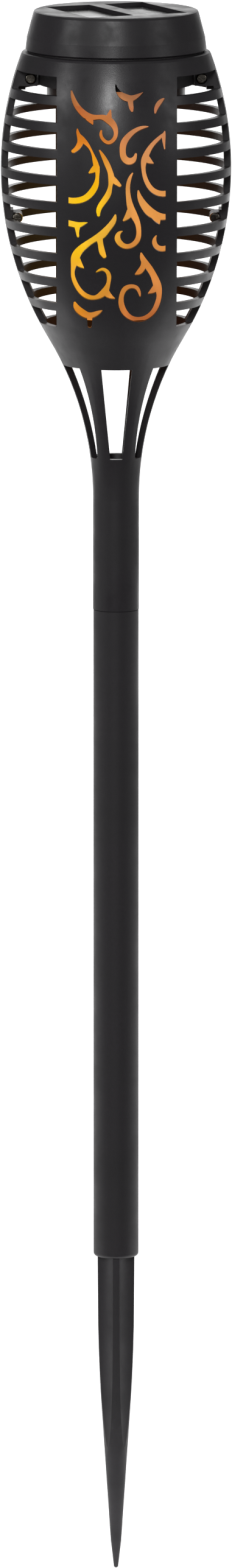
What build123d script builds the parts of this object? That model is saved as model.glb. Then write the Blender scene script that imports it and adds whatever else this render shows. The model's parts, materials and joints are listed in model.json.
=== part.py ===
from build123d import *
from math import cos, radians, sin, sqrt, tan
import os

# Solar flame-effect garden torch. Millimetres, +Z up. The origin is on the axis at the pole's
# lower end, which is the ground line: the spike lies below it and the lamp head above.
# The torch's front faces -Y.

# ---------------------------------------------------------------- driving dimensions
WALL = 2.1                      # wall of the basket and the neck

# basket and neck: a belly arc and a throat arc that meet tangent, then a straight neck tube
BELLY_R = 110.0
BELLY_AXIS = (-72.0, 365.2)     # centre of the belly arc, as radius and height
THROAT_R = 104.0
THROAT_AXIS = (111.6, 255.2)    # centre of the throat arc
NECK_R = 7.6
NECK_BOTTOM = 218.1             # joint with the pole
NECK_TOP = THROAT_AXIS[1]
FUNNEL_FLOOR = 267.2            # top of the web that closes the neck tube
WEB_T = 4.0
BASKET_TOP = 403.8
RIM_ROUND = 0.9
MOUTH_R = 29.1
MOUTH_LEDGE = 403.0             # the lamp module's flange rests here
LEDGE_R, LEDGE_H = 28.2, 1.8    # bore and thickness of the ledge
LEDGE_SLOPE = 1.4               # height of the slope under the ledge, down to the wall

# side openings of the basket, cut square to the front
PANEL_HALF_W = 19.7             # half-width of the plain front and rear panels
SIDE_RIB_HALF = 4.6             # half-width of the ribs at the parting line
OPENING_TOP = 398.2
SLAT_TOP = 392.0                # upper face of the highest front slat
SLAT_PITCH = 8.63
FRONT_SLAT_H = 2.85
REAR_SLAT_H = 2.4
REAR_SLAT_RISE = 0.4            # the rear slats sit this much higher than the front ones
SLATS = 9
LAST_OPENING_BOTTOM = 314.3

# windows of the neck
NECK_WINDOWS = 6
WINDOW_TOP, WINDOW_TOP_HALF = 300.0, 5.1
WINDOW_BOTTOM, WINDOW_BOTTOM_HALF = 269.0, 2.0

# scroll cut-outs of both panels
PATTERN_BASE = 305.2            # height that the pattern's own heights count from
PATTERN_HALF_W = 15.9           # the pattern's side borders, where strokes end square
PATTERN_LOW, PATTERN_HIGH = 5.0, 95.0

# screws: head, shank, and the cross recess's arm length, slot width and depth
SCREW_HEAD_R, SCREW_HEAD_H, SCREW_HEAD_ROUND = 1.75, 1.3, 0.5
SCREW_SHANK_R = 0.95
SCREW_HOLE_R = 1.15             # clearance hole
HEAD_GAP = 0.15                 # room round a sunk head
CROSS_ARM, CROSS_SLOT, CROSS_DEPTH = 1.1, 0.35, 0.7

# basket screws: distance from the axis, height, seat's distance in front of the split, length
UPPER_SCREW = (28.1, 395.1, 3.3, 6.5)
LOWER_SCREW = (32.5, 349.0, 3.3, 6.5)
PILOT_SPARE = 0.6               # how much deeper the rear half's holes are than the screws
UPPER_LUG_X, UPPER_LUG_Z, UPPER_LUG_TOP = 25.9, 392.7, 398.6
REAR_LUG_X = 25.0               # the rear upper lug starts here, but clears the lamp's cup
LUG_WEB_X, LUG_WEB_Z = 29.8, 391.0      # the rear upper lug's web, under its outer part
LOWER_LUG_R = 1.7
LUG_ROOT_X, LUG_ROOT_HALF = 33.9, 2.6   # the lower lug's thicker root, at the rib

# pole and its plug
POLE_R = 7.5
POLE_BORE_R = 5.3
SOCKET_R = 6.2                  # wider bore at both ends of the pole
SPIKE_SOCKET = 30.0
PLUG_SOCKET = 18.0
POLE_EDGE = 1.2
POLE_TOP_EDGE = 0.25
PLUG_NECK_R, PLUG_WALL, PLUG_LEAD_IN = 5.5, 1.5, 0.8
PLUG_TOP = 243.2
NECK_BORE_R = 5.6
NECK_BORE_TOP = 248.2
NECK_STEP = 0.8                 # the narrower bore above the plug

# ground spike: radii and heights down its outline
SPIKE_R = 6.15
SPIKE_LEAD_IN = 0.6
STRAIGHT_R, STRAIGHT_Z = 5.98, -24.0
BEND_MID_R, BEND_MID_Z = 5.62, -36.2
BEND_R, BEND_Z = 5.0, -48.5
NOSE_R, NOSE_Z = 1.75, -97.0
SPIKE_TIP = -106.4
SPIKE_TIP_R = 0.75
SPIKE_FLUTE_R = 6.0
SPIKE_FLUTE_OFF = 7.0           # distance of a flute's axis from both centre planes
SPIKE_FLUTE_TOP = 6.0

# lid of the lamp module
LID_TOP = 417.4
LID_BOTTOM = 404.2
LID_BAND_TOP = 408.6
LID_TOP_R, LID_BAND_R, LID_BOTTOM_R = 27.3, 29.35, 29.8
LID_TOP_EDGE, LID_LOW_EDGE = 0.9, 0.5
LID_WALL = 1.6
LID_PLATE = 1.25
LID_TURN = 24.0                 # the solar panel's turn about the axis, in degrees
WINDOW_HALF = 17.6              # half the side of the lid's square window
BAR_W, BAR_OFF = 5.2, 1.0       # the bar across the window
PANEL_HALF = 18.0
COVER_T = 0.6
LAMINATE_T = 1.0
CELL_T = 0.2
CELL_STRIPS = 6
CELL_GAP = 0.8
CELL_MARGIN = 1.0

# floor of the lamp module
FLANGE_R, FLANGE_BOTTOM = 28.8, MOUTH_LEDGE
LOCATOR_R, LOCATOR_BOTTOM, LOCATOR_SLOPE = 27.9, 400.2, 1.0
CUP_R, CUP_WALL, CUP_BOTTOM = 25.6, 1.6, 393.1
CUP_FLOOR = 1.6
SPIGOT_R, SPIGOT_WALL, SPIGOT_BOTTOM = 18.3, 1.7, 390.4
TAB_R, TAB_H = 20.3, 1.2
BAYONETS = 3
TAB_ANGLE = 30.0
TAB_ROOT = 0.4                  # how far the tabs reach into their ring
POST_AT, POST_R, POST_GAP = 21.6, 2.5, 0.4      # lid screw posts, and the gap over the floor's posts
LID_SCREW_SEAT, LID_SCREW_LEN = 397.8, 11.8
LID_PILOT = 6.0
SEAL_W, SEAL_H = 1.6, 1.1
SLIP = 0.1                      # gap round the seal

# diffuser
COLLAR_R, COLLAR_TOP, COLLAR_BOTTOM = 22.8, 392.9, 387.7
COLLAR_BORE_R = 20.8
DIFFUSER_R, DIFFUSER_WALL = 19.0, 1.2
DIFFUSER_TOP, DIFFUSER_BOTTOM = 390.0, 316.6
CAP_T, CAP_STEP = 1.4, 0.5
PLAY = 0.3                      # gap between moving parts

# electrics
BOARD_R, BOARD_T, BOARD_Z = 18.2, 1.2, 406.4
BOARD_FLAT = 2.2
CELL_R, CELL_LEN = 5.1, 30.0
CELL_Y, CELL_Z = -7.0, 401.0
NUB_R, NUB_LEN = 1.9, 1.0
CONTACT_T, CONTACT_HALF = 0.4, 3.0
CONTACT_X = -CELL_LEN / 2 - CONTACT_T
SPRING_X = CELL_LEN / 2 + 3.0
SPRING_END = SPRING_X + CONTACT_T
SPRING_WIRE, SPRING_R, SPRING_TURNS = 0.35, 3.0, 2.5
HOLDER_WALL, HOLDER_H, HOLDER_END_HALF = 1.2, 5.0, 4.0
HOLDER_TRIM = 0.8               # the trough's wall is this much thinner at its inner side
STRIP_W, STRIP_T, STRIP_BOTTOM = 12.0, 1.0, 327.2
STRIP_GAP = 0.2
LED_W, LED_T, LED_H = 3.5, 1.4, 2.8
LED_ROWS, LED_PITCH, LED_FIRST, LED_STAGGER = 6, 9.5, 335.2, 2.6
SWITCH_Y = 11.0
SWITCH_L, SWITCH_W, SWITCH_H = 8.6, 3.8, 3.6
SWITCH_ROOF = 1.0
KNOB_L, KNOB_W, KNOB_BOTTOM = 1.8, 1.6, 391.2
KNOB_GAP = 0.25
SWITCH_TRAVEL = 2.0
LEAD_R, LEAD_BEND = 0.4, 2.4

REACH = 60.0                    # beyond every part, for cutting solids
ON_BASE = (Align.CENTER, Align.CENTER, Align.MIN)


# ---------------------------------------------------------------- helpers
def on_axis(r, z):
    """A point of a half outline in the XZ plane."""
    return Vector(r, 0, z)


def turned(face):
    """The solid of a half outline turned about the axis."""
    return revolve(face, Axis.Z, 360)


def ring(r_out, r_in, z_low, z_high):
    """A plain ring about the axis."""
    corners = [on_axis(r_in, z_low), on_axis(r_out, z_low), on_axis(r_out, z_high), on_axis(r_in, z_high)]
    return turned(make_face(Polyline(*corners, close=True)))


def rod(x, y, z_low, z_high, r):
    """A vertical cylinder."""
    return Pos(x, y, z_low) * Cylinder(r, z_high - z_low, align=ON_BASE)


def rod_y(x, z, y_front, y_back, r):
    """A cylinder along Y."""
    return Pos(x, y_front, z) * Rot(-90, 0, 0) * Cylinder(r, y_back - y_front, align=ON_BASE)


def block(low, high):
    """A box from its lowest to its highest corner."""
    size = [b - a for a, b in zip(low, high)]
    return Pos(*low) * Box(*size, align=(Align.MIN, Align.MIN, Align.MIN))


def arc_r(centre, radius, z, side):
    """Radius at height z of a profile arc whose curve lies on the given side of its centre."""
    return centre[0] + side * sqrt(radius ** 2 - (z - centre[1]) ** 2)


def belly_r(z, depth=0.0):
    """Radius of the belly at a height, at a depth inside the outer surface."""
    return arc_r(BELLY_AXIS, BELLY_R - depth, z, 1)


def throat_r(z, depth=0.0):
    """Radius of the throat at a height, at a depth inside the outer surface."""
    return arc_r(THROAT_AXIS, THROAT_R + depth, z, -1)


def save(node, *solids):
    """Write one node's solids to its STEP file."""
    if len(solids) == 1:
        shape = solids[0]
    else:
        shape = Compound(children=[Solid(solid.wrapped) for solid in solids])
    shape.label = node
    export_step(shape, f"parts/{node}.step")


def pan_screw(length):
    """A pan-head screw along +Z with a cross recess. Its seat is at height 0."""
    head = rod(0, 0, -SCREW_HEAD_H, 0, SCREW_HEAD_R)
    head = fillet(head.edges().group_by(Axis.Z)[0], SCREW_HEAD_ROUND)
    cross = Box(2 * CROSS_ARM, CROSS_SLOT, CROSS_DEPTH, align=ON_BASE)
    cross += Box(CROSS_SLOT, 2 * CROSS_ARM, CROSS_DEPTH, align=ON_BASE)
    return head + rod(0, 0, 0, length, SCREW_SHANK_R) - Pos(0, 0, -SCREW_HEAD_H) * cross


# ---------------------------------------------------------------- basket and neck
def shell_side(depth, z_low, z_high):
    """The belly and throat arcs at a depth inside the outer surface, from z_low up to z_high."""
    run_r = THROAT_AXIS[0] - BELLY_AXIS[0]
    run_z = THROAT_AXIS[1] - BELLY_AXIS[1]
    reach = sqrt(run_r ** 2 + run_z ** 2)
    meet_r = BELLY_AXIS[0] + (BELLY_R - depth) * run_r / reach
    meet_z = BELLY_AXIS[1] + (BELLY_R - depth) * run_z / reach
    z_throat = (z_low + meet_z) / 2
    z_belly = (z_high + meet_z) / 2
    throat = ThreePointArc(
        on_axis(throat_r(z_low, depth), z_low),
        on_axis(throat_r(z_throat, depth), z_throat),
        on_axis(meet_r, meet_z),
    )
    belly = ThreePointArc(
        on_axis(meet_r, meet_z),
        on_axis(belly_r(z_belly, depth), z_belly),
        on_axis(belly_r(z_high, depth), z_high),
    )
    return throat, belly


def basket_shell():
    """The whole turned wall, from the neck's joint to the mouth."""
    shoulder = BASKET_TOP - RIM_ROUND
    rim_r = belly_r(shoulder)
    ledge_bottom = MOUTH_LEDGE - LEDGE_H
    slope_bottom = ledge_bottom - LEDGE_SLOPE
    web_bottom = FUNNEL_FLOOR - WEB_T
    edge = [
        Line(on_axis(NECK_R, NECK_BOTTOM), on_axis(NECK_R, NECK_TOP)),
        *shell_side(0.0, NECK_TOP, shoulder),
        Polyline(
            on_axis(rim_r, shoulder),
            on_axis(rim_r - RIM_ROUND * 0.4, BASKET_TOP - RIM_ROUND * 0.25),
            on_axis(rim_r - RIM_ROUND, BASKET_TOP),
            on_axis(MOUTH_R, BASKET_TOP),
            on_axis(MOUTH_R, MOUTH_LEDGE),
            on_axis(LEDGE_R, MOUTH_LEDGE),
            on_axis(LEDGE_R, ledge_bottom),
            on_axis(belly_r(slope_bottom, WALL), slope_bottom),
        ),
        *shell_side(WALL, FUNNEL_FLOOR, slope_bottom),
        Polyline(
            on_axis(throat_r(FUNNEL_FLOOR, WALL), FUNNEL_FLOOR),
            on_axis(0, FUNNEL_FLOOR),
            on_axis(0, web_bottom),
            on_axis(NECK_BORE_R - NECK_STEP, web_bottom),
            on_axis(NECK_BORE_R - NECK_STEP, NECK_BORE_TOP),
            on_axis(NECK_BORE_R, NECK_BORE_TOP),
            on_axis(NECK_BORE_R, NECK_BOTTOM),
            on_axis(NECK_R, NECK_BOTTOM),
        ),
    ]
    return turned(make_face(edge))


def basket_filling():
    """A solid that fills the basket out to the middle of its wall."""
    low, high = FUNNEL_FLOOR, BASKET_TOP
    edge = [
        *shell_side(WALL / 2, low, high),
        Polyline(
            on_axis(belly_r(high, WALL / 2), high),
            on_axis(0, high),
            on_axis(0, low),
            on_axis(throat_r(low, WALL / 2), low),
        ),
    ]
    return turned(make_face(edge))


def opening_heights(slat_h, rise):
    """Lower and upper height of each side opening, from the top one down."""
    top = SLAT_TOP + rise
    heights = [(top, OPENING_TOP)]
    for slat in range(1, SLATS):
        heights.append((top - slat * SLAT_PITCH, top - (slat - 1) * SLAT_PITCH - slat_h))
    heights.append((LAST_OPENING_BOTTOM, top - (SLATS - 1) * SLAT_PITCH - slat_h))
    return heights


def side_openings(side_y):
    """The cutters that leave slats between the panel and the side ribs of one half."""
    if side_y < 0:
        heights = opening_heights(FRONT_SLAT_H, 0.0)
    else:
        heights = opening_heights(REAR_SLAT_H, REAR_SLAT_RISE)
    cutters = []
    for low, high in heights:
        for side_x in (-1, 1):
            xs = sorted((side_x * PANEL_HALF_W, side_x * REACH))
            ys = sorted((side_y * SIDE_RIB_HALF, side_y * REACH))
            cutters.append(block((xs[0], ys[0], low), (xs[1], ys[1], high)))
    return cutters


def neck_windows():
    """Tapered windows round the neck, the first facing the front."""
    outline = [
        (-WINDOW_BOTTOM_HALF, 0, WINDOW_BOTTOM),
        (WINDOW_BOTTOM_HALF, 0, WINDOW_BOTTOM),
        (WINDOW_TOP_HALF, 0, WINDOW_TOP),
        (-WINDOW_TOP_HALF, 0, WINDOW_TOP),
    ]
    wedge = extrude(make_face(Polyline(*outline, close=True)), REACH, dir=(0, -1, 0))
    return [Rot(0, 0, k * 360 / NECK_WINDOWS) * wedge for k in range(NECK_WINDOWS)]


# ---------------------------------------------------------------- scroll cut-outs
# Each stroke is a list of points (across, height above the pattern's base, half-width).
STROKES = [
    # upper left swoosh with its curl and two barbs
    [(-14.9, 89, 0.2), (-14.5, 87.1, 0.6), (-13.4, 84.5, 0.9), (-11.6, 82.3, 1.1), (-9.6, 80.9, 1.2),
     (-7.3, 80.6, 0.9), (-4.9, 80.7, 0.9), (-2.8, 79.8, 1.2), (-1, 77.9, 1), (-0.4, 75.6, 0.7),
     (-1, 73.7, 0.7), (-2.9, 72.5, 0.7), (-4.5, 73.4, 0.6), (-5.3, 74.9, 0.5), (-5.2, 76.3, 0.35)],
    [(-9.1, 80.2, 1.2), (-8.4, 79.1, 0.7), (-8, 78.3, 0.2)],
    [(-2.9, 80.1, 1.2), (-2.5, 81.7, 0.7), (-2.2, 83, 0.25)],
    # upper anchor and its stem
    [(-0.4, 91.1, 0.2), (0.1, 89.4, 0.6), (1.3, 87.9, 1), (2.9, 87, 1.2), (4.4, 86.7, 1.1),
     (6.1, 87.2, 0.8), (7.4, 87.9, 0.5), (8.4, 88.5, 0.2)],
    [(4.3, 86.4, 1.1), (4.5, 84.7, 0.8), (4.7, 83.5, 0.7), (4.9, 82.7, 0.4)],
    # small oblong
    [(15.2, 86.2, 0.4), (13.9, 85.1, 0.8), (12.9, 83.5, 0.7), (12.5, 81.8, 0.3)],
    # open C
    [(10, 77.5, 0.3), (8.2, 77.3, 0.6), (5.8, 76.3, 0.8), (3.6, 74.5, 1), (2.1, 72.2, 1.1),
     (1.8, 69.8, 1), (2.3, 67.5, 1.1), (3.8, 66.4, 1.2), (5.2, 66.8, 1), (5.9, 67.9, 0.6),
     (6.1, 68.7, 0.4)],
    # left forked stroke: short leg, long leg, barb
    [(-13, 76.7, 0.2), (-12.5, 74.6, 0.7), (-12, 72.8, 1), (-12.8, 70.8, 0.9), (-14.3, 69.4, 0.7)],
    [(-12.4, 74.7, 0.6), (-11, 73, 0.9), (-9.5, 71.4, 0.6), (-8.4, 69.6, 0.4), (-7.6, 67.6, 0.6),
     (-7, 65.5, 0.9), (-6.5, 63.4, 0.8), (-6.5, 61.2, 0.6), (-6.9, 58.8, 0.9), (-8.2, 56.3, 1.1),
     (-10.5, 54.1, 1.1), (-13, 53.2, 1.1), (-16.1, 53.2, 1.1)],
    [(-6.9, 64.3, 1.2), (-8.3, 63.1, 0.8), (-9, 62.6, 0.4)],
    # centre left stroke and its barb
    [(-5.7, 69.9, 0.3), (-4.4, 67.7, 0.7), (-3.1, 65, 0.9), (-2.2, 62.6, 0.9), (-1.9, 60.5, 1),
     (-2.2, 58.5, 0.7), (-2.7, 56.2, 0.9), (-4.2, 53.5, 1), (-5.7, 51.2, 0.9), (-6.1, 48.5, 0.5)],
    [(-1.7, 60.7, 1.1), (-0.2, 59.4, 0.9), (0.8, 58.5, 0.6)],
    # right forked stroke: short leg, long leg, barb
    [(15.6, 75.8, 0.2), (15.3, 73.7, 0.6), (15.4, 71.8, 0.4), (15.6, 70, 0.2)],
    [(15.3, 74.9, 0.5), (13.3, 73.3, 0.7), (11.2, 71.2, 0.8), (9.6, 68.6, 1), (8.8, 66.5, 1),
     (8.6, 64.1, 0.7), (9, 61.4, 0.7), (10.1, 58.7, 0.8), (11.8, 56.6, 0.9), (14, 55.5, 1),
     (16.4, 55.4, 1.1)],
    [(9.5, 67.2, 1.3), (11, 66, 0.7), (11.7, 65.6, 0.3)],
    # centre hook and its barb
    [(5, 62.5, 0.25), (4, 60.5, 0.6), (3.5, 57.8, 0.7), (3.7, 54.6, 0.8), (4.3, 51.5, 1.1),
     (5.5, 48.5, 1.2), (6.7, 45.8, 0.9), (7.1, 43.1, 0.8), (6.7, 40.4, 0.9), (5.1, 38.6, 0.9),
     (2.9, 38.1, 0.9), (0.8, 39.4, 1), (0.1, 41.3, 0.9), (0.7, 42.7, 0.6), (1.6, 43.2, 0.25)],
    [(4.4, 49.9, 1.3), (3.2, 47.9, 0.9), (2.2, 46.9, 0.4)],
    # right stroke and its barb
    [(6.9, 56.7, 0.25), (7.6, 54, 0.9), (9.1, 51.4, 1.3), (11, 49.3, 1.5), (13.4, 48, 1.3),
     (16.5, 47.6, 1)],
    [(12.7, 47.8, 1.4), (13.4, 46.4, 0.9), (13.8, 45.5, 0.3)],
    # left T
    [(-16.5, 45.6, 1.1), (-14.2, 45.2, 1.1), (-12.5, 45.1, 1), (-11, 45.6, 0.6), (-9.8, 46, 0.2)],
    [(-13, 44.7, 1.1), (-13, 42.9, 0.6), (-12.8, 41.2, 0.4)],
    # lower left scroll, its branch, barb and tail
    [(-0.6, 48.7, 0.3), (-1.3, 46.5, 0.9), (-3.1, 44.1, 1.1), (-5.4, 41.7, 1.3), (-7.9, 40.2, 1),
     (-10.2, 38.5, 1.1), (-12.4, 36.4, 1.3), (-13.7, 33.9, 1.4), (-14.2, 31.2, 0.9), (-14.5, 28.7, 0.6),
     (-14.2, 26.7, 0.7), (-13.2, 24.3, 0.8), (-11.4, 21.9, 0.9), (-9.2, 20.6, 0.9), (-7.2, 20.5, 0.8),
     (-5.2, 21.5, 1.1), (-3.7, 23.2, 1.1), (-2.9, 25.3, 0.7), (-2.6, 27.4, 0.7), (-3.2, 29.4, 0.7),
     (-4.7, 30.3, 0.6), (-6.1, 29.8, 0.4), (-6.8, 29.3, 0.2)],
    [(-5.9, 40.7, 1.2), (-5.4, 38.7, 0.9), (-5, 36.6, 1), (-4.2, 34.7, 0.7)],
    [(-13.1, 32.8, 1.4), (-11.9, 31.3, 0.8), (-11, 30.6, 0.25)],
    [(-3.7, 22.5, 1.3), (-2.4, 21.1, 0.9), (-0.9, 20.3, 0.3)],
    # lower left crescent and its stem
    [(-13.8, 18.4, 0.4), (-13, 16.5, 1.1), (-11.2, 14.9, 1.3), (-9.2, 14.1, 1.2), (-6.9, 14.8, 0.9),
     (-4.9, 16, 0.2)],
    [(-8.9, 13.9, 0.9), (-8.9, 10.5, 0.7)],
    # right crescent
    [(12.8, 41.4, 0.25), (12.2, 39.7, 0.7), (13.1, 37.6, 0.9), (14.7, 36.9, 1), (16.7, 37.4, 0.9)],
    # lower right scroll, its leg and barb
    [(7.9, 35.7, 0.3), (8.8, 33.1, 1), (10.4, 30.7, 1.1), (12.2, 27.5, 1.1), (13.3, 24.3, 1.3),
     (13.9, 21.4, 0.9), (13.4, 18.3, 0.9), (11.9, 15.2, 0.9), (9.7, 13.4, 0.9), (7.1, 12.8, 0.9),
     (4.4, 13.6, 0.9), (2.4, 15.7, 1), (1.4, 18.7, 0.9), (1.6, 21.5, 0.8), (2.8, 23.7, 0.9),
     (4.6, 24.4, 0.8), (6.4, 23.9, 0.7), (7.3, 22.4, 0.5), (7.6, 20.9, 0.25)],
    [(8.8, 33, 1), (8.3, 30.6, 1), (7.1, 29.1, 0.9), (6.2, 28.6, 0.4)],
    [(13.1, 23.9, 1.4), (11.5, 22.4, 0.9), (10.4, 21.8, 0.3)],
]


def stroke_face(points):
    """A flat face, in the panel's plane, whose width follows the stroke's half-widths."""
    spine = [Vector(x, z) for x, z, _ in points]
    left, right = [], []
    for i, (_, _, half) in enumerate(points):
        along = (spine[min(i + 1, len(spine) - 1)] - spine[max(i - 1, 0)]).normalized()
        across = Vector(-along.Y, along.X) * half
        left.append(spine[i] + across)
        right.append(spine[i] - across)
    first_tip = spine[0] - (spine[1] - spine[0]).normalized() * points[0][2]
    last_tip = spine[-1] + (spine[-1] - spine[-2]).normalized() * points[-1][2]
    side = Spline if len(points) > 2 else Line
    return make_face([
        side(*left),
        side(*right),
        ThreePointArc(left[0], first_tip, right[0]),
        ThreePointArc(left[-1], last_tip, right[-1]),
    ])


def scroll_cutter():
    """The pattern's strokes as one cutter through the front panel."""
    middle = (PATTERN_LOW + PATTERN_HIGH) / 2
    border = Pos(0, middle) * Rectangle(2 * PATTERN_HALF_W, PATTERN_HIGH - PATTERN_LOW)
    flat = Sketch() + [stroke_face(points) for points in STROKES]
    upright = Pos(0, -PANEL_HALF_W, PATTERN_BASE) * Rot(90, 0, 0) * (flat & border)
    return [extrude(face, REACH, dir=(0, -1, 0)) for face in upright.faces()]


# ---------------------------------------------------------------- basket halves and their screws
def side_block(side_x, x, z_low, z_high, ys):
    """A block from x outwards, on the left or right side."""
    xs = sorted((side_x * x, side_x * REACH))
    return block((xs[0], ys[0], z_low), (xs[1], ys[1], z_high))


def lugs(side_x, side_y):
    """The upper and lower screw lugs of one side of a half, from the wall inwards."""
    ys = sorted((0, side_y * SIDE_RIB_HALF))
    if side_y < 0:
        plate = side_block(side_x, UPPER_LUG_X, UPPER_LUG_Z, UPPER_LUG_TOP, ys)
    else:
        plate = side_block(side_x, REAR_LUG_X, UPPER_LUG_Z, UPPER_LUG_TOP, ys)
        plate -= rod(0, 0, UPPER_LUG_Z, UPPER_LUG_TOP, UPPER_LUG_X)
        plate += side_block(side_x, LUG_WEB_X, LUG_WEB_Z, UPPER_LUG_Z, ys)
    x, z, seat, _ = LOWER_SCREW
    arm_ys = (-seat, 0) if side_y < 0 else ys
    arm = rod_y(side_x * x, z, *arm_ys, LOWER_LUG_R)
    arm += side_block(side_x, x, z - LOWER_LUG_R, z + LOWER_LUG_R, arm_ys)
    arm += side_block(side_x, LUG_ROOT_X, z - LUG_ROOT_HALF, z + LUG_ROOT_HALF, ys)
    filling = basket_filling()
    return [plate & filling, arm & filling]


def screw_holes(side_x, side_y):
    """The screw holes of one side: sunk seats and clearance in front, pilot holes behind."""
    holes = []
    for x, z, seat, length in (UPPER_SCREW, LOWER_SCREW):
        at = side_x * x
        if side_y < 0:
            holes.append(rod_y(at, z, -SIDE_RIB_HALF, -seat, SCREW_HEAD_R + HEAD_GAP))
            holes.append(rod_y(at, z, -seat, 0, SCREW_HOLE_R))
        else:
            holes.append(rod_y(at, z, 0, length - seat + PILOT_SPARE, SCREW_SHANK_R))
    return holes


def basket_half(side_y):
    """One half of the basket and neck: side_y is -1 at the front and 1 at the rear."""
    ys = sorted((0, side_y * REACH))
    half = basket_shell() & block((-REACH, ys[0], 0), (REACH, ys[1], BASKET_TOP + 1))
    half -= side_openings(side_y) + neck_windows()
    facing = Rot(0, 0, 0 if side_y < 0 else 180)
    half -= [facing * cutter for cutter in scroll_cutter()]
    for side_x in (-1, 1):
        half += lugs(side_x, side_y)
        half -= screw_holes(side_x, side_y)
    return half


def basket_screws():
    """The four screws that hold the halves together, with their heads in front."""
    return [
        Pos(side_x * x, -seat, z) * Rot(-90, 0, 0) * pan_screw(length)
        for side_x in (-1, 1)
        for x, z, seat, length in (UPPER_SCREW, LOWER_SCREW)
    ]


# ---------------------------------------------------------------- pole and spike
def pole_tube():
    tube = ring(POLE_R, POLE_BORE_R, 0, NECK_BOTTOM)
    tube -= rod(0, 0, 0, SPIKE_SOCKET, SOCKET_R)
    tube -= rod(0, 0, NECK_BOTTOM - PLUG_SOCKET, NECK_BOTTOM, SOCKET_R)
    lower_edge = tube.edges().filter_by(GeomType.CIRCLE).group_by(Axis.Z)[0].sort_by(SortBy.RADIUS)[-1]
    tube = fillet(lower_edge, POLE_EDGE)
    upper_edge = tube.edges().filter_by(GeomType.CIRCLE).group_by(Axis.Z)[-1].sort_by(SortBy.RADIUS)[-1]
    return chamfer(upper_edge, POLE_TOP_EDGE)


def pole_plug():
    """The stepped sleeve that joins the pole to the neck tube."""
    low = NECK_BOTTOM - PLUG_SOCKET
    bore_r = PLUG_NECK_R - PLUG_WALL
    corners = [
        on_axis(bore_r, low),
        on_axis(SOCKET_R, low),
        on_axis(SOCKET_R, NECK_BOTTOM),
        on_axis(PLUG_NECK_R, NECK_BOTTOM),
        on_axis(PLUG_NECK_R, PLUG_TOP - PLUG_LEAD_IN),
        on_axis(PLUG_NECK_R - PLUG_LEAD_IN / 2, PLUG_TOP),
        on_axis(bore_r, PLUG_TOP),
    ]
    return turned(make_face(Polyline(*corners, close=True)))


def ground_spike():
    """A fluted spike: nearly straight at first, then tapering evenly to a blunt tip."""
    tip_z = SPIKE_TIP + SPIKE_TIP_R
    cap_mid = SPIKE_TIP_R * sqrt(0.5)
    outline = [
        Line(on_axis(SPIKE_R, 0), on_axis(STRAIGHT_R, STRAIGHT_Z)),
        ThreePointArc(
            on_axis(STRAIGHT_R, STRAIGHT_Z),
            on_axis(BEND_MID_R, BEND_MID_Z),
            on_axis(BEND_R, BEND_Z),
        ),
        Line(on_axis(BEND_R, BEND_Z), on_axis(NOSE_R, NOSE_Z)),
        Line(on_axis(NOSE_R, NOSE_Z), on_axis(SPIKE_TIP_R, tip_z)),
        ThreePointArc(
            on_axis(SPIKE_TIP_R, tip_z),
            on_axis(cap_mid, tip_z - cap_mid),
            on_axis(0, SPIKE_TIP),
        ),
        Polyline(
            on_axis(0, SPIKE_TIP),
            on_axis(0, SPIKE_SOCKET),
            on_axis(SPIKE_R - SPIKE_LEAD_IN, SPIKE_SOCKET),
            on_axis(SPIKE_R, SPIKE_SOCKET - SPIKE_LEAD_IN),
            on_axis(SPIKE_R, 0),
        ),
    ]
    flute = rod(SPIKE_FLUTE_OFF, SPIKE_FLUTE_OFF, SPIKE_TIP - 1, SPIKE_FLUTE_TOP, SPIKE_FLUTE_R)
    return turned(make_face(outline)) - [Rot(0, 0, k * 90) * flute for k in range(4)]


# ---------------------------------------------------------------- lid and solar panel
def turned_square(half, z_low, z_high):
    """A square block about the axis, turned with the solar panel."""
    return Rot(0, 0, LID_TURN) * block((-half, -half, z_low), (half, half, z_high))


def lid_posts():
    """Places of the four lid screws, at the middle of each side of the solar panel."""
    return [
        (POST_AT * cos(radians(LID_TURN + k * 90)), POST_AT * sin(radians(LID_TURN + k * 90)))
        for k in range(4)
    ]


def lid_inner_r(z):
    """Inner radius of the lid's wall."""
    if z <= LID_BAND_TOP:
        share = (z - LID_BOTTOM) / (LID_BAND_TOP - LID_BOTTOM)
        return LID_BOTTOM_R + share * (LID_BAND_R - LID_BOTTOM_R) - LID_WALL
    share = (z - LID_BAND_TOP) / (LID_TOP - LID_BAND_TOP)
    return LID_BAND_R + share * (LID_TOP_R - LID_BAND_R) - LID_WALL


def lid_shell():
    """The lid: a tapered cap with a square window, a bar across it and four screw posts."""
    plate_bottom = LID_TOP - LID_PLATE
    corners = [
        on_axis(0, LID_TOP),
        on_axis(LID_TOP_R - LID_TOP_EDGE, LID_TOP),
        on_axis(LID_TOP_R - LID_TOP_EDGE * 0.35, LID_TOP - LID_TOP_EDGE * 0.25),
        on_axis(LID_TOP_R, LID_TOP - LID_TOP_EDGE),
        on_axis(LID_BAND_R, LID_BAND_TOP),
        on_axis(LID_BOTTOM_R, LID_BOTTOM + LID_LOW_EDGE),
        on_axis(LID_BOTTOM_R - LID_LOW_EDGE, LID_BOTTOM),
        on_axis(lid_inner_r(LID_BOTTOM), LID_BOTTOM),
        on_axis(lid_inner_r(LID_BAND_TOP), LID_BAND_TOP),
        on_axis(lid_inner_r(plate_bottom), plate_bottom),
        on_axis(0, plate_bottom),
    ]
    lid = turned(make_face(Polyline(*corners, close=True)))
    bar = Rot(0, 0, LID_TURN) * block(
        (BAR_OFF - BAR_W / 2, -WINDOW_HALF, plate_bottom),
        (BAR_OFF + BAR_W / 2, WINDOW_HALF, LID_TOP),
    )
    lid -= turned_square(WINDOW_HALF, plate_bottom, LID_TOP) - bar
    post_bottom = LID_BOTTOM + POST_GAP
    for x, y in lid_posts():
        lid += rod(x, y, post_bottom, plate_bottom, POST_R)
        lid -= rod(x, y, post_bottom, post_bottom + LID_PILOT, SCREW_SHANK_R)
    return lid


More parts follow.
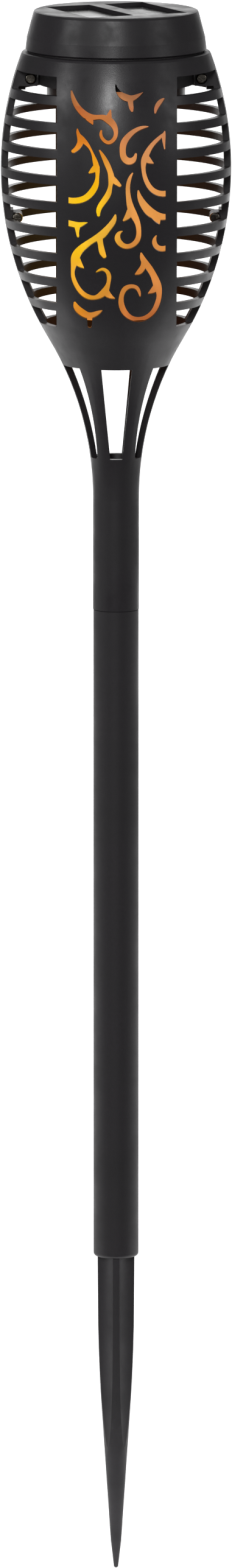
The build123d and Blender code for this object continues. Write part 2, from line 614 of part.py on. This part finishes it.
def cell_strips():
    """The dark strips of the solar cells, side by side across the panel."""
    base = LID_TOP - LID_PLATE - COVER_T
    half = PANEL_HALF - CELL_MARGIN
    pitch = 2 * half / CELL_STRIPS
    strips = []
    for k in range(CELL_STRIPS):
        x = -half + k * pitch
        strip = block((x, -half, base), (x + pitch - CELL_GAP, half, base + CELL_T))
        strips.append(Rot(0, 0, LID_TURN) * strip)
    return strips


def solar_laminate():
    """The solar panel's board."""
    top = LID_TOP - LID_PLATE - COVER_T
    return turned_square(PANEL_HALF, top - LAMINATE_T, top)


def panel_cover():
    """The clear resin over the cells."""
    top = LID_TOP - LID_PLATE
    return turned_square(PANEL_HALF, top - COVER_T, top) - cell_strips()


# ---------------------------------------------------------------- floor of the lamp module
def module_base():
    """The cup under the lid, with its flange, locating ring, bayonet spigot and screw posts."""
    cup_inner = CUP_R - CUP_WALL
    floor_top = CUP_BOTTOM + CUP_FLOOR
    corners = [
        on_axis(0, CUP_BOTTOM),
        on_axis(CUP_R, CUP_BOTTOM),
        on_axis(CUP_R, LOCATOR_BOTTOM),
        on_axis(LOCATOR_R, LOCATOR_BOTTOM + LOCATOR_SLOPE),
        on_axis(LOCATOR_R, FLANGE_BOTTOM),
        on_axis(FLANGE_R, FLANGE_BOTTOM),
        on_axis(FLANGE_R, LID_BOTTOM),
        on_axis(cup_inner, LID_BOTTOM),
        on_axis(cup_inner, floor_top),
        on_axis(0, floor_top),
    ]
    base = turned(make_face(Polyline(*corners, close=True)))
    base += ring(SPIGOT_R, SPIGOT_R - SPIGOT_WALL, SPIGOT_BOTTOM, CUP_BOTTOM)
    base += bayonet_tabs(SPIGOT_R - TAB_ROOT, TAB_R, SPIGOT_BOTTOM, SPIGOT_BOTTOM + TAB_H)
    for x, y in lid_posts():
        base += rod(x, y, floor_top, LID_BOTTOM, POST_R)
        base -= rod(x, y, CUP_BOTTOM, LID_SCREW_SEAT, SCREW_HEAD_R + PLAY)
        base -= rod(x, y, LID_SCREW_SEAT, LID_BOTTOM, SCREW_HOLE_R)
    slot_x, slot_y = STRIP_W / 2 + STRIP_GAP, STRIP_T / 2 + STRIP_GAP
    base -= block((-slot_x, -slot_y, CUP_BOTTOM), (slot_x, slot_y, floor_top))
    base -= knob_slot(CUP_BOTTOM, floor_top)
    return base


def bayonet_tabs(r_in, r_out, z_low, z_high):
    """Equal tabs round a ring, each TAB_ANGLE wide, the first centred on +X."""
    whole = ring(r_out, r_in, z_low, z_high)
    reach = 2 * r_out
    spread = reach * tan(radians(TAB_ANGLE / 2))
    corners = [(0, 0, z_low), (reach, -spread, z_low), (reach, spread, z_low)]
    sector = extrude(make_face(Polyline(*corners, close=True)), z_high - z_low, dir=(0, 0, 1))
    return [whole & (Rot(0, 0, k * 360 / BAYONETS) * sector) for k in range(BAYONETS)]


def knob_slot(z_low, z_high):
    """Room for the switch knob's travel through a wall."""
    half_l, half_w = KNOB_L / 2 + KNOB_GAP, KNOB_W / 2 + KNOB_GAP
    return block(
        (-half_l, SWITCH_Y - half_w, z_low),
        (half_l + SWITCH_TRAVEL, SWITCH_Y + half_w, z_high),
    )


def lid_seal():
    """The rubber ring between the lid and the module's flange."""
    r_out = lid_inner_r(LID_BOTTOM + SEAL_H) - SLIP
    return ring(r_out, r_out - SEAL_W, LID_BOTTOM, LID_BOTTOM + SEAL_H)


def lid_screws():
    """Screws that point up, with their heads sunk in the cup's floor."""
    return [Pos(x, y, LID_SCREW_SEAT) * pan_screw(LID_SCREW_LEN) for x, y in lid_posts()]


# ---------------------------------------------------------------- diffuser
def diffuser_tube():
    """A plain tube with a shallow seat for its end cap."""
    inner_r = DIFFUSER_R - DIFFUSER_WALL
    tube = ring(DIFFUSER_R, inner_r, DIFFUSER_BOTTOM, DIFFUSER_TOP)
    return tube - ring(DIFFUSER_R - CAP_STEP, inner_r, DIFFUSER_BOTTOM, DIFFUSER_BOTTOM + CAP_T)


def diffuser_collar():
    """The ring that grips the tube and turns on the spigot's bayonet tabs."""
    collar = ring(COLLAR_R, COLLAR_BORE_R, COLLAR_BOTTOM, COLLAR_TOP)
    collar += ring(COLLAR_BORE_R, DIFFUSER_R, COLLAR_BOTTOM, DIFFUSER_TOP - PLAY)
    lug_low = SPIGOT_BOTTOM + TAB_H + PLAY
    collar += bayonet_tabs(SPIGOT_R + PLAY + SLIP, COLLAR_BORE_R + TAB_ROOT, lug_low, COLLAR_TOP)
    return collar


def diffuser_cap():
    """The disc that closes the tube's lower end."""
    return rod(0, 0, DIFFUSER_BOTTOM, DIFFUSER_BOTTOM + CAP_T, DIFFUSER_R - CAP_STEP)


# ---------------------------------------------------------------- electrics
def circuit_board():
    """A round board with a flat, and a slot that the LED strip's head is soldered into."""
    top = BOARD_Z + BOARD_T
    board = rod(0, 0, BOARD_Z, top, BOARD_R)
    board -= block((-BOARD_R, BOARD_R - BOARD_FLAT, BOARD_Z), (BOARD_R, BOARD_R, top))
    return board - block((-STRIP_W / 2, -STRIP_T / 2, BOARD_Z), (STRIP_W / 2, STRIP_T / 2, top))


# Each chip's place on the board, then its width, depth and height.
CHIPS = [
    (-11, 6, 5.0, 4.0, 1.5),    # controller
    (10, -8, 4.0, 4.0, 2.6),    # coil
    (-9, -9, 3.2, 1.6, 1.2),
    (-4, -11, 2.0, 1.2, 0.9),
    (2, -12, 2.0, 1.2, 0.9),
    (12, 7, 3.0, 2.0, 1.2),
    (0, 7, 2.0, 1.2, 0.9),
]


def board_chips():
    """The controller, a coil and small passives on the board's upper face."""
    low = BOARD_Z + BOARD_T
    return [
        block((x - w / 2, y - d / 2, low), (x + w / 2, y + d / 2, low + h))
        for x, y, w, d, h in CHIPS
    ]


def rod_x(x_low, x_high, r):
    """A cylinder along X on the battery's axis."""
    return Pos(x_low, CELL_Y, CELL_Z) * Rot(0, 90, 0) * Cylinder(r, x_high - x_low, align=ON_BASE)


def battery_cell():
    """A small cylindrical cell with its nub at -X."""
    half = CELL_LEN / 2
    return rod_x(-half + NUB_LEN, half, CELL_R) + rod_x(-half, -half + NUB_LEN, NUB_R)


def battery_holder():
    """A trough with end walls, open above the cell."""
    floor_z = CUP_BOTTOM + CUP_FLOOR
    hollow_r = CELL_R + PLAY
    side = hollow_r + HOLDER_WALL
    low_x, high_x = CONTACT_X - HOLDER_WALL, SPRING_END + HOLDER_WALL
    body = block(
        (low_x, CELL_Y - side, floor_z),
        (high_x, CELL_Y + side - HOLDER_TRIM, floor_z + HOLDER_H),
    )
    for x_low, x_high in ((low_x, CONTACT_X), (SPRING_END, high_x)):
        body += block(
            (x_low, CELL_Y - HOLDER_END_HALF, floor_z),
            (x_high, CELL_Y + HOLDER_END_HALF, BOARD_Z),
        )
    body = body & rod(0, 0, floor_z, BOARD_Z, CUP_R - CUP_WALL - PLAY)
    body -= rod_x(CONTACT_X, SPRING_END, hollow_r)
    return body - block(
        (CONTACT_X, CELL_Y - hollow_r, CELL_Z),
        (SPRING_END, CELL_Y + hollow_r, BOARD_Z),
    )


def contact_plate(x_low):
    """A metal plate that stands in the trough's end and reaches the board."""
    return block(
        (x_low, CELL_Y - CONTACT_HALF, CELL_Z - CONTACT_HALF),
        (x_low + CONTACT_T, CELL_Y + CONTACT_HALF, BOARD_Z),
    )


def battery_spring():
    """The coil between the cell's flat end and its plate."""
    end = CELL_LEN / 2
    length = SPRING_X - end - 2 * SPRING_WIRE
    path = Helix(length / SPRING_TURNS, length, SPRING_R)
    section = Plane(origin=path @ 0, z_dir=path % 0) * Circle(SPRING_WIRE)
    coil = sweep(section, path=path, is_frenet=True)
    return Pos(end + SPRING_WIRE, CELL_Y, CELL_Z) * Rot(0, 90, 0) * coil


def led_board():
    """The upright strip that carries the LEDs."""
    return block(
        (-STRIP_W / 2, -STRIP_T / 2, STRIP_BOTTOM),
        (STRIP_W / 2, STRIP_T / 2, BOARD_Z + BOARD_T),
    )


def flame_leds():
    """Single LEDs in a staggered column on both faces of the strip."""
    leds = []
    for row in range(LED_ROWS):
        z = LED_FIRST + row * LED_PITCH
        side = LED_STAGGER if row % 2 else -LED_STAGGER
        for face in (-1, 1):
            ys = sorted((face * STRIP_T / 2, face * (STRIP_T / 2 + LED_T)))
            x = face * side
            leds.append(block((x - LED_W / 2, ys[0], z), (x + LED_W / 2, ys[1], z + LED_H)))
    return leds


def switch_body():
    """The slide switch's case, with room for the knob's travel."""
    floor_z = CUP_BOTTOM + CUP_FLOOR
    x_mid = SWITCH_TRAVEL / 2
    case = block(
        (x_mid - SWITCH_L / 2, SWITCH_Y - SWITCH_W / 2, floor_z),
        (x_mid + SWITCH_L / 2, SWITCH_Y + SWITCH_W / 2, floor_z + SWITCH_H),
    )
    return case - knob_slot(floor_z, floor_z + SWITCH_H - SWITCH_ROOF)


def switch_slider():
    """The switch's knob, which reaches down through the cup's floor."""
    return block(
        (-KNOB_L / 2, SWITCH_Y - KNOB_W / 2, KNOB_BOTTOM),
        (KNOB_L / 2, SWITCH_Y + KNOB_W / 2, CUP_BOTTOM + CUP_FLOOR + SWITCH_H - SWITCH_ROOF - PLAY),
    )


def lead(*points):
    """A thin wire along straight runs joined by arcs."""
    path = FilletPolyline(*points, radius=LEAD_BEND)
    section = Plane(origin=path @ 0, z_dir=path % 0) * Circle(LEAD_R)
    return sweep(section, path=path)


def panel_leads():
    """Two wires from the solar panel down to the board."""
    low, high = BOARD_Z + BOARD_T, LID_TOP - LID_PLATE - COVER_T - LAMINATE_T
    mid = (low + high) / 2
    return [lead((x, 3.5, high), (x, 3.5, mid), (x, 11, mid), (x, 11, low)) for x in (-3, 3)]


def switch_leads():
    """Two wires from the switch up to the board."""
    low, high = CUP_BOTTOM + CUP_FLOOR + SWITCH_H, BOARD_Z
    mid = (low + high) / 2
    return [
        lead((x, SWITCH_Y, low), (x, SWITCH_Y, mid), (x, 4, mid), (x, 4, high))
        for x in (-1, 3)
    ]


# ---------------------------------------------------------------- main
def main():
    """Write every node's STEP file."""
    os.makedirs("parts", exist_ok=True)
    save("ground_spike", ground_spike())
    save("pole_tube", pole_tube())
    save("pole_plug", pole_plug())
    save("cage_front", basket_half(-1))
    save("cage_rear", basket_half(1))
    save("cage_screws", *basket_screws())
    save("lid_shell", lid_shell())
    save("solar_panel", solar_laminate())
    save("solar_cells", *cell_strips())
    save("panel_cover", panel_cover())
    save("module_base", module_base())
    save("lid_seal", lid_seal())
    save("lid_screws", *lid_screws())
    save("diffuser_tube", diffuser_tube())
    save("diffuser_collar", diffuser_collar())
    save("diffuser_cap", diffuser_cap())
    save("circuit_board", circuit_board())
    save("board_chips", *board_chips())
    save("battery_cell", battery_cell())
    save("battery_holder", battery_holder())
    save("battery_contact", contact_plate(CONTACT_X))
    save("spring_plate", contact_plate(SPRING_X))
    save("battery_spring", battery_spring())
    save("led_board", led_board())
    save("flame_leds", *flame_leds())
    save("switch_body", switch_body())
    save("switch_slider", switch_slider())
    save("panel_leads", *panel_leads())
    save("switch_leads", *switch_leads())


if __name__ == "__main__":
    main()
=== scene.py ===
import json
from math import cos, pi, radians, sin

import bmesh
import bpy
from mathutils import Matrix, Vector


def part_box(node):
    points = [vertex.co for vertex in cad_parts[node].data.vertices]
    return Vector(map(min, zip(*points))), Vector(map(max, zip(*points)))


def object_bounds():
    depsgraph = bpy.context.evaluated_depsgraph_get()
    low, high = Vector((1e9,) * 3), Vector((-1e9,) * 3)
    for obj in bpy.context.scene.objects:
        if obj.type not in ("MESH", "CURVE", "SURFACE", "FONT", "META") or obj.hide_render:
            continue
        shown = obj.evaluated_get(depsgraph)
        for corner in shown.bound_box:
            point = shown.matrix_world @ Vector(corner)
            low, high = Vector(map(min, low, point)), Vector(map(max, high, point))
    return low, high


# Solar flame-effect garden torch. Every length is in metres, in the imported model's frame.

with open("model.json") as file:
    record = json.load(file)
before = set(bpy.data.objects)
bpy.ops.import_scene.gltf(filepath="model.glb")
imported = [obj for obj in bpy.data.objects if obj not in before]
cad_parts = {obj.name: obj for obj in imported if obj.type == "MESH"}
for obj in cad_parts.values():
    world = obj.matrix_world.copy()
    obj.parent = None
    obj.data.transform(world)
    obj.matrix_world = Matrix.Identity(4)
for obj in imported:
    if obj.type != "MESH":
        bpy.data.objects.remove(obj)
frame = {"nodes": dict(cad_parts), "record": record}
CAD_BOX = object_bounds()

# ---------------------------------------------------------------- the view
CAMERA_DISTANCE = 5.0
CAMERA_HEIGHT = 0.9652          # above the ground line, so the lid's top shows a little
CAMERA_TURN = radians(-0.6)     # the torch shows slightly more of its left side
AIM_HEIGHT = 0.1592             # what lies in the middle of the tall frame
LENS = 350.3                    # millimetres, on the sensor below
SENSOR = 36.0
CLIP_END = 50.0

# ---------------------------------------------------------------- the stage
FLOOR_GAP = 0.0005              # the floor lies this far below the spike's tip
FLOOR_FRONT = -0.08
SWEEP_START = 2.0               # how far behind the torch the floor begins to rise
SWEEP_RADIUS = 1.0
SWEEP_STEPS = 12
STAGE_HALF_WIDTH = 1.5
WALL_TOP = 3.0
STAGE_GLOW = 0.95
WORLD_STRENGTH = 0.15
LIGHTS = (                      # name, place, point aimed at, width and height, watts
    ("key", (-0.35, -2.6, 1.35), (0, 0, 0.36), (0.40, 0.6), 26),
    ("left", (-2.6, -1.4, 1.2), (0, 0, 0.35), (0.8, 1.2), 17),
    ("right", (2.6, -1.4, 1.2), (0, 0, 0.38), (0.8, 1.0), 9),
)

# ---------------------------------------------------------------- colours, as the eye sees them
PLASTIC = (0.150, 0.140, 0.152)
INSIDE_PLASTIC = (0.145, 0.135, 0.142)
COLLAR_PAINTED_SHADE = (0.19, 0.15, 0.14)     # painted shade on the sides of the diffuser's collar, which no light reaches
AMBER_PEACH = (0.95, 0.66, 0.38)    # the paler patches of the diffuser
GLOW_STRENGTH = 0.75


def linear(colour):
    """Display colour to scene-linear."""
    return tuple(((c + 0.055) / 1.055) ** 2.4 if c > 0.04045 else c / 12.92 for c in colour)


# ---------------------------------------------------------------- node helpers
class Graph:
    """A small wrapper that makes a material's node tree read as a list of steps."""

    def __init__(self, name):
        self.material = bpy.data.materials.new(name)
        self.material.use_nodes = True
        self.tree = self.material.node_tree
        self.shader = self.tree.nodes["Principled BSDF"]

    def add(self, kind):
        """A new node of that kind."""
        return self.tree.nodes.new(kind)

    def link(self, source, target):
        """Join an output socket to an input socket."""
        self.tree.links.new(source, target)

    def place(self):
        """Object coordinates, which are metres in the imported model's frame."""
        return self.add("ShaderNodeTexCoord").outputs["Object"]

    def noise(self, scale, detail=2.0, roughness=0.5):
        """Noise fixed to the object. A scale of 100 has patches about 10 mm across."""
        node = self.add("ShaderNodeTexNoise")
        node.inputs["Scale"].default_value = scale
        node.inputs["Detail"].default_value = detail
        node.inputs["Roughness"].default_value = roughness
        self.link(self.place(), node.inputs["Vector"])
        return node.outputs["Fac"]

    def spread(self, value, low, high, to_low, to_high):
        """Map value from low..high to to_low..to_high, and hold it at the ends."""
        node = self.add("ShaderNodeMapRange")
        for key, number in (("From Min", low), ("From Max", high), ("To Min", to_low), ("To Max", to_high)):
            node.inputs[key].default_value = number
        self.link(value, node.inputs["Value"])
        return node.outputs["Result"]

    def math(self, operation, first, second):
        """One arithmetic step on numbers or sockets."""
        node = self.add("ShaderNodeMath")
        node.operation = operation
        for socket, value in zip(node.inputs, (first, second)):
            if isinstance(value, (int, float)):
                socket.default_value = value
            else:
                self.link(value, socket)
        return node.outputs[0]

    def ramp(self, value, stops):
        """stops are (position, display colour)."""
        node = self.add("ShaderNodeValToRGB")
        elements = node.color_ramp.elements
        while len(elements) < len(stops):
            elements.new(0.5)
        for element, (position, colour) in zip(elements, stops):
            element.position = position
            element.color = (*linear(colour), 1.0)
        self.link(value, node.inputs["Fac"])
        return node.outputs["Color"]

    def mix(self, factor, first, second):
        """Blend two colours, each a socket or a display colour."""
        node = self.add("ShaderNodeMix")
        node.data_type = "RGBA"
        for socket, value in ((node.inputs[0], factor), (node.inputs[6], first), (node.inputs[7], second)):
            if isinstance(value, (int, float)):
                socket.default_value = value
            elif isinstance(value, tuple):
                socket.default_value = (*linear(value), 1.0)
            else:
                self.link(value, socket)
        return node.outputs[2]

    def bump(self, height, strength, distance):
        """Let height, in units of distance, tilt the shading."""
        node = self.add("ShaderNodeBump")
        node.inputs["Strength"].default_value = strength
        node.inputs["Distance"].default_value = distance
        self.link(height, node.inputs["Height"])
        self.link(node.outputs["Normal"], self.shader.inputs["Normal"])

    def set(self, **values):
        """Set the shader's sockets to numbers, tuples or the outputs of other nodes."""
        for key, value in values.items():
            socket = self.shader.inputs[key.replace("_", " ")]
            if isinstance(value, (int, float, tuple)):
                socket.default_value = value
            else:
                self.link(value, socket)


# ---------------------------------------------------------------- materials
def moulded_plastic(name, tone, rough_low, rough_high, patch_scale=1.0):
    """Black injection-moulded plastic: a fine spark-eroded skin with cloudy patches of sheen.

    A larger patch_scale makes the patches smaller.
    """
    g = Graph(name)
    cloud = g.noise(55.0 * patch_scale, detail=4.0, roughness=0.6)
    speck = g.noise(900.0, detail=2.0)
    dark = tuple(c * 0.84 for c in tone)
    light = tuple(c * 1.22 for c in tone)
    # Mottled tone of the plastic, partly painted sheen: the lighter patches fall where the roughness is
    # lowest.
    patches = g.ramp(cloud, [(0.30, dark), (0.70, light)])
    colour = g.mix(g.spread(speck, 0.35, 0.65, 0.0, 0.30), patches, tuple(c * 0.9 for c in tone))
    g.set(Base_Color=colour, Roughness=g.spread(cloud, 0.35, 0.65, rough_high, rough_low))
    g.set(Specular_IOR_Level=0.45)
    grain = g.noise(2600.0, detail=2.0)
    g.bump(grain, 0.25, 0.00006)
    return g.material


def diffuser_glow(name, bottom, top, radius, collar_bottom):
    """Frosted amber plastic lit from inside: brown-orange at the ends, yellow and peach between.

    The collar, above collar_bottom, has painted shade at its left and right: there the glow gives way to a
    dark colour without emission.
    """
    g = Graph(name)
    split = g.add("ShaderNodeSeparateXYZ")
    g.link(g.place(), split.inputs["Vector"])
    height = g.spread(split.outputs["Z"], bottom, top, 0.0, 1.0)
    across = g.spread(split.outputs["X"], -radius, radius, 0.0, 1.0)
    # Painted glow: the light from inside is drawn into the colour, yellow on the object's left half and peach
    # on its right half, and browner towards both ends.
    left = g.ramp(height, [
        (0.0, (0.88, 0.52, 0.16)),
        (0.22, (0.98, 0.72, 0.06)),
        (0.45, (1.0, 0.83, 0.0)),
        (0.60, (1.0, 0.74, 0.0)),
        (0.76, (0.90, 0.52, 0.08)),
        (0.90, (0.66, 0.34, 0.14)),
        (1.0, (0.50, 0.27, 0.16)),
    ])
    right = g.ramp(height, [
        (0.0, (0.74, 0.38, 0.18)),
        (0.2, (0.86, 0.54, 0.24)),
        (0.5, (0.92, 0.62, 0.30)),
        (0.8, (0.82, 0.54, 0.36)),
        (1.0, (0.58, 0.36, 0.28)),
    ])
    glow = g.mix(g.spread(across, 0.30, 0.62, 0.0, 1.0), left, right)
    soft = g.noise(70.0, detail=1.0)
    warm = g.mix(g.spread(soft, 0.4, 0.7, 0.0, 0.35), glow, AMBER_PEACH)
    # Painted shade: above collar_bottom, the collar's left and right sides, by the object's X, are darkened
    # and stop glowing.
    collar = g.spread(split.outputs["Z"], collar_bottom - 0.0002, collar_bottom, 0.0, 1.0)
    painted_shade_sides = g.spread(g.math("ABSOLUTE", split.outputs["X"], 0.0), radius * 0.8, radius, 0.0, 1.0)
    dark = g.math("MULTIPLY", collar, painted_shade_sides)
    colour = g.mix(dark, warm, COLLAR_PAINTED_SHADE)
    g.set(
        Base_Color=colour,
        Emission_Color=colour,
        Emission_Strength=g.spread(dark, 0.0, 1.0, GLOW_STRENGTH, 0.0),
        Roughness=g.spread(soft, 0.3, 0.7, 0.30, 0.42),
    )
    return g.material


def simple_finish(name, colour, roughness, metallic=0.0, grain=120.0, spread=0.10):
    """A finish with slight colour and gloss variation, for the small pieces."""
    g = Graph(name)
    cloud = g.noise(grain, detail=3.0)
    dark = tuple(max(c * (1 - spread), 0.0) for c in colour)
    light = tuple(min(c * (1 + spread), 1.0) for c in colour)
    g.set(
        Base_Color=g.ramp(cloud, [(0.3, dark), (0.7, light)]),
        Roughness=g.spread(cloud, 0.3, 0.7, roughness * 0.85, min(roughness * 1.15, 1.0)),
        Metallic=metallic,
    )
    return g.material


def clear_resin(name):
    """The cover cast over the solar panel, slightly hazed in patches."""
    g = Graph(name)
    g.set(
        Base_Color=(0.80, 0.82, 0.88, 1.0),
        Roughness=g.spread(g.noise(60.0), 0.3, 0.7, 0.12, 0.26),
        Transmission_Weight=1.0,
        IOR=1.30,
    )
    return g.material


def finishes():
    """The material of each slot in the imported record."""
    tube_low, tube_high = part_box("diffuser_tube")
    collar_low, collar_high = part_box("diffuser_collar")
    glow = diffuser_glow("diffuser_amber", tube_low[2], collar_high[2], tube_high[0], collar_low[2])
    return {
        "cage_plastic": moulded_plastic("cage_black", PLASTIC, 0.30, 0.54),
        "lid_plastic": moulded_plastic("lid_black", PLASTIC, 0.28, 0.50, 1.3),
        "pole_plastic": moulded_plastic("pole_black", PLASTIC, 0.42, 0.56, 0.8),
        "spike_plastic": moulded_plastic("spike_black", PLASTIC, 0.46, 0.60, 0.9),
        "module_plastic": moulded_plastic("module_black", INSIDE_PLASTIC, 0.42, 0.55),
        "screw_steel": simple_finish("screw_dark", (0.46, 0.44, 0.41), 0.24, metallic=1.0, grain=900.0),
        "panel_laminate": simple_finish("laminate_dark", (0.16, 0.17, 0.24), 0.25),
        "cell_silicon": simple_finish("cell_dark", (0.10, 0.10, 0.16), 0.18, grain=300.0, spread=0.25),
        "clear_resin": clear_resin("cover_clear"),
        "seal_rubber": simple_finish("seal_rubber", (0.18, 0.18, 0.18), 0.75),
        "board_laminate": simple_finish("board_green", (0.12, 0.38, 0.22), 0.35, grain=400.0),
        "chip_plastic": simple_finish("chip_black", (0.14, 0.14, 0.14), 0.5, grain=400.0),
        "battery_sleeve": simple_finish("sleeve_green", (0.22, 0.50, 0.30), 0.25),
        "contact_metal": simple_finish("contact_nickel", (0.75, 0.75, 0.72), 0.25, metallic=1.0, grain=500.0),
        "led_lens": simple_finish("led_amber", (1.0, 0.78, 0.35), 0.2),
        "switch_plastic": simple_finish("switch_black", (0.15, 0.15, 0.15), 0.35, grain=400.0),
        "lead_jacket": simple_finish("lead_red", (0.62, 0.10, 0.08), 0.45),
        "diffuser_plastic": glow,
    }


def dress():
    """Give every CAD node its slot's material."""
    materials = finishes()
    for entry in frame["record"]["subparts"]:
        mesh = frame["nodes"][entry["node"]].data
        mesh.materials.clear()
        mesh.materials.append(materials[entry["material_slot"]])


# ---------------------------------------------------------------- stage, light, camera
def backdrop():
    """A white floor that sweeps up into a wall behind the torch."""
    floor_z = CAD_BOX[0][2] - FLOOR_GAP
    line = [(FLOOR_FRONT, floor_z)]
    for step in range(SWEEP_STEPS + 1):
        angle = step / SWEEP_STEPS * pi / 2
        line.append((SWEEP_START + SWEEP_RADIUS * sin(angle), floor_z + SWEEP_RADIUS * (1 - cos(angle))))
    line.append((SWEEP_START + SWEEP_RADIUS, WALL_TOP))
    mesh = bpy.data.meshes.new("backdrop")
    bm = bmesh.new()
    rows = [[bm.verts.new((x, y, z)) for x in (-STAGE_HALF_WIDTH, STAGE_HALF_WIDTH)] for y, z in line]
    for near, far in zip(rows, rows[1:]):
        bm.faces.new((near[0], near[1], far[1], far[0]))
    bm.to_mesh(mesh)
    bm.free()
    obj = bpy.data.objects.new("backdrop", mesh)
    bpy.context.scene.collection.objects.link(obj)
    for face in mesh.polygons:
        face.use_smooth = True
    g = Graph("backdrop_white")
    g.set(
        Base_Color=(0.9, 0.9, 0.9, 1.0),
        Emission_Color=(1.0, 1.0, 1.0, 1.0),
        Emission_Strength=STAGE_GLOW,
        Specular_IOR_Level=0.0,
        Roughness=0.9,
    )
    mesh.materials.append(g.material)


def point_at(obj, place, target):
    """Put a light or camera at place and turn it to face target."""
    obj.location = place
    obj.rotation_euler = (Vector(target) - Vector(place)).to_track_quat("-Z", "Y").to_euler()


def soft_light(name, place, target, size, watts):
    """A white rectangular studio light."""
    light = bpy.data.lights.new(name, "AREA")
    light.shape = "RECTANGLE"
    light.size, light.size_y = size
    light.energy = watts
    obj = bpy.data.objects.new(name, light)
    bpy.context.scene.collection.objects.link(obj)
    point_at(obj, place, target)


def lights():
    """Dim white surroundings and three soft lights in front of the torch."""
    world = bpy.data.worlds.new("studio")
    world.use_nodes = True
    background = world.node_tree.nodes["Background"]
    background.inputs["Color"].default_value = (1.0, 1.0, 1.0, 1.0)
    background.inputs["Strength"].default_value = WORLD_STRENGTH
    bpy.context.scene.world = world
    for light in LIGHTS:
        soft_light(*light)


def camera():
    """A long lens in front of the torch, slightly above its lid."""
    data = bpy.data.cameras.new("camera")
    data.lens = LENS
    data.sensor_width = SENSOR
    data.clip_end = CLIP_END
    obj = bpy.data.objects.new("camera", data)
    bpy.context.scene.collection.objects.link(obj)
    place = Vector((CAMERA_DISTANCE * sin(CAMERA_TURN), -CAMERA_DISTANCE * cos(CAMERA_TURN), CAMERA_HEIGHT))
    point_at(obj, place, (0, 0, AIM_HEIGHT))
    bpy.context.scene.camera = obj


dress()
backdrop()
lights()
camera()
bpy.context.scene.view_settings.view_transform = "Standard"
